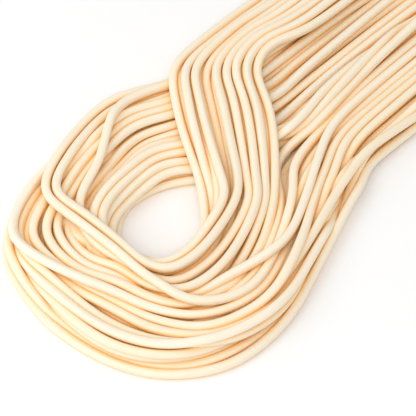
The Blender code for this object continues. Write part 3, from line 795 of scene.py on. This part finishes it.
@dataclass(frozen=True)
class DoughFinish:
    """Smooth matte wheat dough in patches from cream to warm, with painted shade in the gaps
    between noodles.

    Attributes:
        name: the material's name.
        pale: colour of the palest dough.
        warm: colour of the warmest dough.
        gap: colour of the painted shade in the gaps between noodles, a warm orange-brown.
        gap_reach: width of the gaps that are tinted so, in metres.
        gap_samples: rays by which the render finds them.
        gap_strength: how strongly the painted shade tints them.
        gap_onset: power by which the tint is held back where a gap is shallow.
        mottle_size: across a patch of pale or warm dough, in metres.
        mottle_detail: how ragged the patches are.
        mottle_contrast: how much they differ.
        mottle_bias: how far the dough leans to warm, or below zero to pale.
        line_size: across one of the faint lines along a noodle, in metres.
        line_length: how many times longer than wide these are.
        line_detail: how ragged they are.
        line_depth: depth of the relief that they give, in metres.
        roughness: of the smooth skin, and of the floury one.
        gloss: how strongly the skin shines, against 0.5 for plain plastic.
        translucency: share of the light that goes into the dough.
        light_reach: how far red, green and blue light travel in it, in metres.
    """

    name: str = "noodle_dough_skin"
    pale: tuple[float, float, float, float] = (0.955, 0.857, 0.697, 1.0)
    warm: tuple[float, float, float, float] = (0.948, 0.780, 0.542, 1.0)
    gap: tuple[float, float, float, float] = (1.00, 0.62, 0.22, 1.0)
    gap_reach: float = 0.0036
    gap_samples: int = 3
    gap_strength: float = 1.7
    gap_onset: float = 1.7
    mottle_size: float = 0.012
    mottle_detail: float = 2.0
    mottle_contrast: float = 0.9
    mottle_bias: float = -0.2
    line_size: float = 0.0007
    line_length: float = 30.0
    line_detail: float = 3.0
    line_depth: float = 0.00006
    roughness: tuple[float, float] = (0.42, 0.62)
    gloss: float = 0.35
    translucency: float = 0.12
    light_reach: tuple[float, float, float] = (0.0018, 0.0014, 0.0010)

    def material(self) -> bpy.types.Material:
        """Builds the material.

        Returns:
            The material, which reads each point's dough_place and tone.
        """
        material = bpy.data.materials.new(self.name)
        material.use_nodes = True
        graph = Graph(material.node_tree)
        shader = material.node_tree.nodes["Principled BSDF"]
        place = graph.add("ShaderNodeAttribute", attribute_name="dough_place").outputs["Vector"]
        self._colour(graph, place, shader)
        self._skin(graph, place, shader)
        shader.inputs["Subsurface Weight"].default_value = self.translucency
        shader.inputs["Subsurface Radius"].default_value = self.light_reach
        shader.inputs["Subsurface Scale"].default_value = 1.0
        shader.inputs["Specular IOR Level"].default_value = self.gloss
        return material

    def _colour(
        self, graph: Graph, place: bpy.types.NodeSocket, shader: bpy.types.Node
    ) -> None:
        """Colours the dough in patches from pale to warm, and paints warm shade into the gaps
        between noodles.

        Args:
            graph: the material's nodes.
            place: each point's place in its own noodle.
            shader: the node that takes the colour.
        """
        tone = graph.add("ShaderNodeAttribute", attribute_name="tone")
        mottle = graph.add(
            "ShaderNodeTexNoise",
            {"Vector": place, "Scale": 1 / self.mottle_size, "Detail": self.mottle_detail},
        )
        shade = graph.math(
            "MULTIPLY_ADD", mottle.outputs["Fac"], self.mottle_contrast, self.mottle_bias
        )
        shade = graph.math("ADD", shade, tone.outputs["Fac"])
        ramp = graph.add("ShaderNodeValToRGB", {"Fac": shade})
        ramp.color_ramp.elements[0].color = self.pale
        ramp.color_ramp.elements[1].color = self.warm
        # Painted shade: where ambient occlusion finds the dough hemmed in by other noodles, the
        # base colour turns towards the warm gap colour.
        openness = graph.add(
            "ShaderNodeAmbientOcclusion", {"Distance": self.gap_reach}, samples=self.gap_samples
        )
        occluded = graph.math("SUBTRACT", 1.0, openness.outputs["AO"])
        depth = graph.math("POWER", occluded, self.gap_onset)
        depth = graph.math("MULTIPLY", depth, self.gap_strength)
        depth.node.use_clamp = True
        with_painted_shade = graph.add(
            "ShaderNodeMix",
            {"Factor": depth, "A": ramp.outputs["Color"], "B": self.gap},
            data_type="RGBA",
        )
        result = next(socket for socket in with_painted_shade.outputs if socket.enabled)
        graph.tree.links.new(result, shader.inputs["Base Color"])

    def _skin(
        self, graph: Graph, place: bpy.types.NodeSocket, shader: bpy.types.Node
    ) -> None:
        """Gives the skin its faint lines, by turns smooth and floury, in gloss and relief.

        Args:
            graph: the material's nodes.
            place: each point's place in its own noodle.
            shader: the node that takes them.
        """
        squeeze = (1.0, 1.0, 1.0 / self.line_length)
        drawn_out = graph.add("ShaderNodeVectorMath", {0: place, 1: squeeze}, operation="MULTIPLY")
        lines = graph.add(
            "ShaderNodeTexNoise",
            {
                "Vector": drawn_out.outputs[0],
                "Scale": 1 / self.line_size,
                "Detail": self.line_detail,
            },
        ).outputs["Fac"]
        smooth, floury = self.roughness
        rough = graph.add(
            "ShaderNodeMapRange", {"Value": lines, "To Min": smooth, "To Max": floury}
        )
        graph.tree.links.new(rough.outputs["Result"], shader.inputs["Roughness"])
        bump = graph.add(
            "ShaderNodeBump", {"Height": lines, "Distance": self.line_depth, "Strength": 1.0}
        )
        graph.tree.links.new(bump.outputs["Normal"], shader.inputs["Normal"])


@dataclass(frozen=True)
class FloorFinish:
    """Plain white floor.

    Attributes:
        name: the material's name.
        colour: its colour.
        roughness: of its surface.
    """

    name: str = "pale_floor"
    colour: tuple[float, float, float, float] = (0.96, 0.96, 0.96, 1.0)
    roughness: float = 0.8

    def material(self) -> bpy.types.Material:
        """Builds the material.

        Returns:
            The material.
        """
        material = bpy.data.materials.new(self.name)
        material.use_nodes = True
        shader = material.node_tree.nodes["Principled BSDF"]
        shader.inputs["Base Color"].default_value = self.colour
        shader.inputs["Roughness"].default_value = self.roughness
        return material


# --------------------------------------------------------------------------------------------
# Objects and meshes
# --------------------------------------------------------------------------------------------


def put_in_scene(name: str, data: bpy.types.ID) -> bpy.types.Object:
    """Makes an object and puts it in the scene.

    Args:
        name: what it is called.
        data: its mesh, light or camera.

    Returns:
        The object, at the origin.
    """
    thing = bpy.data.objects.new(name, data)
    bpy.context.scene.collection.objects.link(thing)
    return thing


def keep_result(piece: bpy.types.Object) -> bpy.types.Mesh:
    """Turns what a piece's modifiers make into its own plain mesh.

    Args:
        piece: the piece, which loses its modifiers.

    Returns:
        The mesh.
    """
    graph = bpy.context.evaluated_depsgraph_get()
    mesh = bpy.data.meshes.new_from_object(piece.evaluated_get(graph))
    piece.modifiers.clear()
    piece.data = mesh
    return mesh


def read_points(mesh: bpy.types.Mesh, name: str, columns: int) -> np.ndarray:
    """Reads an attribute of a mesh's points.

    Args:
        mesh: the mesh.
        name: the attribute's name.
        columns: 1 for a number and 3 for a vector.

    Returns:
        The values, one row a point.
    """
    values = np.zeros(len(mesh.vertices) * columns, np.float32)
    kind = "vector" if columns > 1 else "value"
    mesh.attributes[name].data.foreach_get(kind, values)
    return values.reshape(-1, columns)


# --------------------------------------------------------------------------------------------
# Noodles
# --------------------------------------------------------------------------------------------


@dataclass
class NoodleExtruder:
    """The die that gives the noodles their section, as a Geometry Nodes tree.

    Attributes:
        width: across a noodle, in metres.
        squareness: power of the section's outline, from 2 for round to much more for square.
        sides: points round the section.
        spacing: between two sections along a noodle, in metres.
    """

    width: float = (NOODLE_WIDTH + CONTACT) * METRES
    squareness: float = 2.9
    sides: int = 16
    spacing: float = 0.0014

    def tree(self) -> bpy.types.GeometryNodeTree:
        """Builds the tree: paths in, noodles out.

        Returns:
            The tree, with a named input for each size.
        """
        tree = bpy.data.node_groups.new("noodle_extruder", "GeometryNodeTree")
        for name, kind in (
            ("Paths", "NodeSocketGeometry"),
            ("Noodle Width", "NodeSocketFloat"),
            ("Squareness", "NodeSocketFloat"),
            ("Sides", "NodeSocketInt"),
            ("Spacing", "NodeSocketFloat"),
            ("Dough", "NodeSocketMaterial"),
        ):
            tree.interface.new_socket(name, in_out="INPUT", socket_type=kind)
        tree.interface.new_socket("Noodles", in_out="OUTPUT", socket_type="NodeSocketGeometry")
        graph = Graph(tree)
        sizes = graph.add("NodeGroupInput").outputs
        path = self._path(graph, sizes)
        section = self._section(graph, sizes)
        drawn = graph.add(
            "GeometryNodeCurveToMesh",
            {"Curve": path, "Profile Curve": section, "Fill Caps": True},
        )
        smooth = graph.add("GeometryNodeSetShadeSmooth", {"Geometry": drawn.outputs["Mesh"]})
        real = graph.add("GeometryNodeRealizeInstances", {"Geometry": smooth.outputs[0]})
        dressed = graph.add(
            "GeometryNodeSetMaterial",
            {"Geometry": real.outputs[0], "Material": sizes["Dough"]},
        )
        graph.add("NodeGroupOutput", {"Noodles": dressed.outputs[0]})
        return tree

    def _path(self, graph: Graph, sizes: bpy.types.NodeOutputs) -> bpy.types.NodeSocket:
        """Turns the path edges into evenly spaced curves.

        Args:
            graph: the tree's nodes.
            sizes: the tree's named inputs.

        Returns:
            The curves, which carry width, turn and the length along them.
        """
        curve = graph.add("GeometryNodeMeshToCurve", {"Mesh": sizes["Paths"]})
        even = graph.add(
            "GeometryNodeResampleCurve",
            {"Curve": curve.outputs[0], "Length": sizes["Spacing"]},
            mode="LENGTH",
        )
        upright = graph.add("GeometryNodeSetCurveNormal", {"Curve": even.outputs[0]}, mode="Z_UP")
        turned = graph.add(
            "GeometryNodeSetCurveTilt",
            {"Curve": upright.outputs[0], "Tilt": graph.named("turn")},
        )
        full = graph.add(
            "GeometryNodeSetCurveRadius",
            {"Curve": turned.outputs[0], "Radius": graph.named("fullness")},
        )
        length = graph.add("GeometryNodeSplineParameter").outputs["Length"]
        return graph.add(
            "GeometryNodeStoreNamedAttribute",
            {"Geometry": full.outputs[0], "Name": "along", "Value": length},
            data_type="FLOAT",
            domain="POINT",
        ).outputs[0]

    def _section(self, graph: Graph, sizes: bpy.types.NodeOutputs) -> bpy.types.NodeSocket:
        """Draws the section: a circle pressed towards a square with soft corners.

        Args:
            graph: the tree's nodes.
            sizes: the tree's named inputs.

        Returns:
            The section's outline, which carries each point's place on the circle.
        """
        circle = graph.add(
            "GeometryNodeCurvePrimitiveCircle", {"Resolution": sizes["Sides"], "Radius": 1.0}
        )
        place = graph.add("GeometryNodeInputPosition").outputs[0]
        parts = graph.add("ShaderNodeSeparateXYZ", {0: place})
        power = sizes["Squareness"]
        powers = [
            graph.math("POWER", graph.math("ABSOLUTE", parts.outputs[axis]), power)
            for axis in range(2)
        ]
        total = graph.math("ADD", *powers)
        reach = graph.math("POWER", total, graph.math("DIVIDE", -1.0, power))
        half = graph.math("MULTIPLY", sizes["Noodle Width"], 0.5)
        scaled = graph.add(
            "ShaderNodeVectorMath",
            {0: place, "Scale": graph.math("MULTIPLY", reach, half)},
            operation="SCALE",
        )
        pressed = graph.add(
            "GeometryNodeSetPosition",
            {"Geometry": circle.outputs[0], "Position": scaled.outputs[0]},
        )
        return graph.add(
            "GeometryNodeStoreNamedAttribute",
            {"Geometry": pressed.outputs[0], "Name": "section_place", "Value": place},
            data_type="FLOAT_VECTOR",
            domain="POINT",
        ).outputs[0]


@dataclass
class NoodleStrands:
    """The noodles of one leg, drawn out along their axes.

    Attributes:
        leg: the leg that they come in along.
        lines: their axes, in millimetres.
        numbers: each noodle's number in the whole bundle, which seeds its unevenness.
        room: two corners of the box that the noodles keep within, in metres.
        finish: the dough.
        extruder: the die that they come from.
        path_step: between two points of a path, in millimetres.
        width_variation: how much the width differs along a noodle, as a share.
        width_spread: how much the noodles differ in width, as a share.
        turn_variation: how much the section turns along it, in radians.
        tone_variation: how much the noodles differ in colour.
        uneven_step: path points between two turns of the unevenness.
        pattern_shift: how far apart the pattern of the dough starts on two noodles whose tone
            differs by one, in metres.
        sharp_angle: between faces that meet in an edge, as at the cut ends.
    """

    leg: LegPlan
    lines: np.ndarray
    numbers: range
    room: tuple[Vector, Vector]
    finish: bpy.types.Material
    extruder: NoodleExtruder = field(default_factory=NoodleExtruder)
    path_step: float = 0.6
    width_variation: float = 0.045
    width_spread: float = 0.035
    turn_variation: float = 0.6
    tone_variation: float = 0.16
    uneven_step: int = 60
    pattern_shift: float = 10.0
    sharp_angle: float = math.radians(50)

    def fine_path(self, line: np.ndarray) -> np.ndarray:
        """Draws a smooth close-set path through an axis.

        Args:
            line: points along the axis.

        Returns:
            The path's points.
        """
        run = run_along(line)
        at = np.linspace(0.0, run[-1], int(run[-1] / self.path_step))
        return smooth_through(run, line, at)

    def paths(self) -> bpy.types.Object:
        """Makes the paths as chains of edges that carry each noodle's unevenness.

        Returns:
            An object with one chain for each noodle.
        """
        points: list[np.ndarray] = []
        edges: list[np.ndarray] = []
        values: dict[str, list[np.ndarray]] = {"fullness": [], "turn": [], "tone": []}
        start = 0
        for number, line in zip(self.numbers, self.lines):
            rng = np.random.default_rng(number)
            path = self.fine_path(line)
            count = len(path)
            steps = np.arange(start, start + count - 1)
            points.append(path * METRES)
            edges.append(np.column_stack((steps, steps + 1)))
            width = slow_wander(count, self.uneven_step, self.width_variation, rng)
            turn = slow_wander(count, self.uneven_step, self.turn_variation, rng)
            values["fullness"].append(1.0 + width + rng.normal() * self.width_spread)
            values["turn"].append(turn)
            values["tone"].append(np.full(count, rng.normal() * self.tone_variation))
            start += count
        mesh = bpy.data.meshes.new(self.leg.name)
        mesh.from_pydata(np.concatenate(points), np.concatenate(edges), [])
        for name, parts in values.items():
            attribute = mesh.attributes.new(name, "FLOAT", "POINT")
            attribute.data.foreach_set("value", np.concatenate(parts).astype(np.float32))
        return put_in_scene(self.leg.name, mesh)

    def build(self, tree: bpy.types.GeometryNodeTree) -> bpy.types.Object:
        """Draws the noodles out and leaves them as one plain mesh.

        Args:
            tree: the extruder's tree.

        Returns:
            The finished piece, at the origin.
        """
        piece = self.paths()
        modifier = piece.modifiers.new("extruder", "NODES")
        modifier.node_group = tree
        chosen = {
            "Noodle Width": self.extruder.width,
            "Squareness": self.extruder.squareness,
            "Sides": self.extruder.sides,
            "Spacing": self.extruder.spacing,
            "Dough": self.finish,
        }
        for socket in tree.interface.items_tree:
            if socket.name in chosen:
                modifier[socket.identifier] = chosen[socket.name]
        drawn = keep_result(piece)
        self.keep_within(drawn)
        self.face_outwards(drawn)
        self.place_dough(drawn)
        drawn.set_sharp_from_angle(angle=self.sharp_angle)
        return piece

    def keep_within(self, mesh: bpy.types.Mesh) -> None:
        """Flattens what would reach into the floor or past the solid's bounds, by a hair.

        Args:
            mesh: the drawn noodles.
        """
        low, high = (np.array(corner) for corner in self.room)
        spots = np.clip(read_points(mesh, "position", 3), low, high)
        mesh.vertices.foreach_set("co", spots.reshape(-1).astype(np.float32))

    def face_outwards(self, mesh: bpy.types.Mesh) -> None:
        """Turns every face of a closed mesh outwards.

        Args:
            mesh: the drawn noodles.
        """
        work = bmesh.new()
        work.from_mesh(mesh)
        bmesh.ops.recalc_face_normals(work, faces=work.faces)
        work.to_mesh(mesh)
        work.free()

    def place_dough(self, mesh: bpy.types.Mesh) -> None:
        """Gives each point its place in its own noodle: across the section and along it.

        The place goes into the attribute dough_place, in metres, and its third number is the
        length along the noodle, moved on from one noodle to the next.

        Args:
            mesh: the drawn noodles.
        """
        place = read_points(mesh, "section_place", 3) * self.extruder.width / 2
        tone = read_points(mesh, "tone", 1)
        place[:, 2:] = read_points(mesh, "along", 1) + tone * self.pattern_shift
        attribute = mesh.attributes.new("dough_place", "FLOAT_VECTOR", "POINT")
        attribute.data.foreach_set("vector", place.reshape(-1).astype(np.float32))


@dataclass
class DoughCore:
    """Plain dough deep in the bundle, which closes the gaps under the noodles.

    It carries no dough_place and no tone, so its dough has no pattern. Lengths are in millimetres,
    apart from the voxel.

    Attributes:
        axes: the noodles that it lies under.
        finish: the dough.
        name: what the piece is called.
        rails: places across the band of the core's points.
        steps_per_station: sections between two stations.
        depth: of its top under the axes of the highest noodles over it.
        lowest_top: least height of its top.
        reach: round a point, within which noodles count as over it.
        station_reach: the same along the band, in stations.
        foot: height of its underside.
        setback: from the noodles' cut ends.
        voxel: size of the grid that joins its stretches, in metres.
    """

    axes: BundleAxes
    finish: bpy.types.Material
    name: str = "dough_core"
    rails: tuple[float, ...] = (0.10, 0.26, 0.42, 0.58, 0.74, 0.90)
    steps_per_station: int = 3
    depth: float = 4.2
    lowest_top: float = 1.6
    reach: float = 4.0
    station_reach: float = 1.2
    foot: float = 0.3
    setback: float = 9.0
    voxel: float = 0.0009

    def tops(self, station: float, plan: np.ndarray) -> np.ndarray:
        """Finds the core's height at some places of one station.

        Args:
            station: the station.
            plan: the places in plan, one row each.

        Returns:
            The height at each place.
        """
        lines = self.axes.lines
        beside = np.abs(self.axes.stations - station) < self.station_reach
        heights = np.full(len(plan), self.lowest_top)
        for index, place in enumerate(plan):
            over = beside & (np.linalg.norm(lines[..., :2] - place, axis=2) < self.reach)
            if over.any():
                heights[index] = max(lines[..., 2][over].max() - self.depth, self.lowest_top)
        return heights

    def stretch(self, shell: bmesh.types.BMesh, edges: np.ndarray, first: int) -> None:
        """Lofts one stretch of the core into a mesh.

        Args:
            shell: the mesh that it goes into.
            edges: the two edges of each station.
            first: number of the first station.
        """
        edges = edges + self.axes.move
        knots = np.arange(len(edges), dtype=float)
        fine = np.linspace(0.0, knots[-1], self.steps_per_station * (len(edges) - 1) + 1)
        sides = smooth_through(knots, edges.reshape(len(edges), 4), fine)
        shares = np.array(self.rails)[:, None]
        rings = []
        for station, side in zip(fine + first, sides):
            plan = side[None, :2] * (1 - shares) + side[None, 2:] * shares
            roof = np.column_stack((plan, self.tops(station, plan)))
            foot = np.column_stack((plan, np.full(len(plan), self.foot)))[::-1]
            rings.append([shell.verts.new(co * METRES) for co in np.vstack((roof, foot))])
        for ring, following in zip(rings, rings[1:]):
            for index in range(len(ring)):
                after = (index + 1) % len(ring)
                shell.faces.new((ring[index], following[index], following[after], ring[after]))
        for ring in (rings[0], rings[-1]):
            for index in range(len(self.rails) - 1):
                below = len(ring) - 1 - index
                shell.faces.new((ring[index], ring[index + 1], ring[below - 1], ring[below]))

    def set_back(self, edges: np.ndarray, end: int, beside: int) -> None:
        """Draws the end station of a stretch back towards the one beside it."""
        way = (edges[beside] - edges[end]).mean(axis=0)
        edges[end] += way / np.linalg.norm(way) * self.setback

    def build(self) -> bpy.types.Object:
        """Makes the core as one closed body.

        Returns:
            The finished piece, at the origin.
        """
        shell = bmesh.new()
        way_round = np.array(ROUND)
        self.set_back(way_round, -1, -2)
        self.stretch(shell, way_round, 0)
        for leg in (TOP_LEG, SIDE_LEG):
            edges = np.array(leg.stations + LOOP[:1])
            self.set_back(edges, 0, 1)
            self.stretch(shell, edges, -len(leg.stations))
        bmesh.ops.recalc_face_normals(shell, faces=shell.faces)
        mesh = bpy.data.meshes.new(self.name)
        shell.to_mesh(mesh)
        shell.free()
        piece = put_in_scene(self.name, mesh)
        joined = piece.modifiers.new("joined", "REMESH")
        joined.mode = "VOXEL"
        joined.voxel_size = self.voxel
        joined.use_smooth_shade = True
        solid = keep_result(piece)
        solid.materials.clear()
        solid.materials.append(self.finish)
        return piece


# --------------------------------------------------------------------------------------------
# Studio
# --------------------------------------------------------------------------------------------


@dataclass(frozen=True)
class SoftBox:
    """One soft light that faces the bundle.

    Attributes:
        name: the light's name.
        azimuth: where it stands round the bundle, in degrees to the right of the camera.
        elevation: its height above the floor, in degrees.
        distance: from the bundle, in metres.
        side: length of its sides, in metres.
        power: in watts.
        colour: of its light.
    """

    name: str
    azimuth: float
    elevation: float
    distance: float
    side: float
    power: float
    colour: tuple[float, float, float] = (1.0, 1.0, 1.0)


@dataclass
class Studio:
    """Plain pale floor, soft light and the camera at the photograph's view.

    Attributes:
        target: point that the camera looks at, in metres.
        camera_azimuth: direction in which the camera looks, in degrees to the right of +Y.
        camera_elevation: of the camera above the floor, in degrees.
        camera_distance: from the target, in metres.
        lens: focal length, in millimetres.
        picture_width: across the picture that the lens throws, in millimetres.
        nearest: distance from the camera at which things start to show, in metres.
        floor_side: length of the floor's sides, in metres.
        surround_colour: of the even light from all round.
        sky: strength of that light.
        boxes: the soft lights.
    """

    target: Vector
    camera_azimuth: float = 40.0
    camera_elevation: float = 55.0
    camera_distance: float = 0.510
    lens: float = 145.6
    picture_width: float = 36.0
    nearest: float = 0.01
    floor_side: float = 6.0
    surround_colour: tuple[float, float, float, float] = (1.0, 1.0, 1.0, 1.0)
    sky: float = 0.60
    boxes: tuple[SoftBox, ...] = (
        SoftBox("key_light", azimuth=-75.0, elevation=48.0, distance=0.65, side=0.6, power=1.7),
        SoftBox("fill_light", azimuth=0.0, elevation=57.0, distance=1.2, side=0.5, power=4.0),
    )

    def from_target(self, azimuth: float, elevation: float, distance: float) -> Vector:
        """Gives a place round the target.

        Args:
            azimuth: in degrees to the right of the camera's side.
            elevation: in degrees above the floor.
            distance: from the target, in metres.

        Returns:
            The place.
        """
        turn = math.radians(self.camera_azimuth - azimuth)
        rise = math.radians(elevation)
        level = math.cos(rise)
        away = Vector((-math.sin(turn) * level, -math.cos(turn) * level, math.sin(rise)))
        return self.target + away * distance

    def aim(self, thing: bpy.types.Object) -> None:
        """Turns a camera or a light to the target."""
        thing.rotation_euler = (self.target - thing.location).to_track_quat("-Z", "Y").to_euler()

    def camera(self) -> None:
        """Places the camera."""
        data = bpy.data.cameras.new("camera")
        data.lens = self.lens
        data.sensor_width = self.picture_width
        data.clip_start = self.nearest
        camera = put_in_scene("camera", data)
        camera.location = self.from_target(0.0, self.camera_elevation, self.camera_distance)
        self.aim(camera)
        bpy.context.scene.camera = camera

    def light(self, box: SoftBox) -> None:
        """Hangs one soft light.

        Args:
            box: the light's size, place and power.
        """
        data = bpy.data.lights.new(box.name, "AREA")
        data.size = box.side
        data.energy = box.power
        data.color = box.colour
        light = put_in_scene(box.name, data)
        light.location = self.from_target(box.azimuth, box.elevation, box.distance)
        self.aim(light)

    def floor(self) -> None:
        """Lays the floor."""
        slab = bmesh.new()
        bmesh.ops.create_grid(slab, x_segments=1, y_segments=1, size=self.floor_side / 2)
        mesh = bpy.data.meshes.new("floor")
        slab.to_mesh(mesh)
        slab.free()
        mesh.materials.append(FloorFinish().material())
        floor = put_in_scene("floor", mesh)
        floor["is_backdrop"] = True

    def surround(self) -> None:
        """Sets the even light from all round and plain tones."""
        world = bpy.data.worlds.new("pale_surround")
        world.use_nodes = True
        even_light = world.node_tree.nodes["Background"].inputs
        even_light["Color"].default_value = self.surround_colour
        even_light["Strength"].default_value = self.sky
        bpy.context.scene.world = world
        bpy.context.scene.view_settings.view_transform = "Standard"

    def build(self) -> None:
        """Sets up the whole studio."""
        self.camera()
        for box in self.boxes:
            self.light(box)
        self.floor()
        self.surround()


def clear_startup_objects() -> None:
    """Removes what an empty start puts into the scene beside the frame."""
    kept = set(frame["nodes"].values()) | set(frame["bodies"].values())
    for thing in list(bpy.data.objects):
        if thing not in kept:
            bpy.data.objects.remove(thing)


def fix_to_frame(piece: bpy.types.Object) -> None:
    """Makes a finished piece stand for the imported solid.

    Args:
        piece: the piece.
    """
    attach(piece, BODY)
    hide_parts(NODE)


def build_pieces(axes: BundleAxes, room: tuple[Vector, Vector]) -> Iterator[bpy.types.Object]:
    """Builds the pieces that stand for the bundle, one after another.

    Args:
        axes: the noodles as they lie.
        room: two corners of the box that they keep within, in metres.

    Yields:
        The noodles of the top leg, those of the side leg, and the core under them.
    """
    dough = DoughFinish().material()
    tree = NoodleExtruder().tree()
    first = 0
    for leg in (TOP_LEG, SIDE_LEG):
        numbers = range(first, first + len(leg.tiers()))
        lines = axes.lines[numbers.start : numbers.stop]
        yield NoodleStrands(leg, lines, numbers, room, dough).build(tree)
        first = numbers.stop
    yield DoughCore(axes, dough).build()


def main() -> None:
    logging.basicConfig(level=logging.INFO, format="%(name)s: %(message)s")
    clear_startup_objects()
    solid_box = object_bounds()
    axes = BundleAxes()
    Studio(target=Vector((*axes.move, 0.0)) * METRES).build()
    for piece in build_pieces(axes, solid_box):
        fix_to_frame(piece)
        triangles = sum(len(face.vertices) - 2 for face in piece.data.polygons)
        LOG.info("%s: %d triangles", piece.name, triangles)


if __name__ == "__main__":
    main()
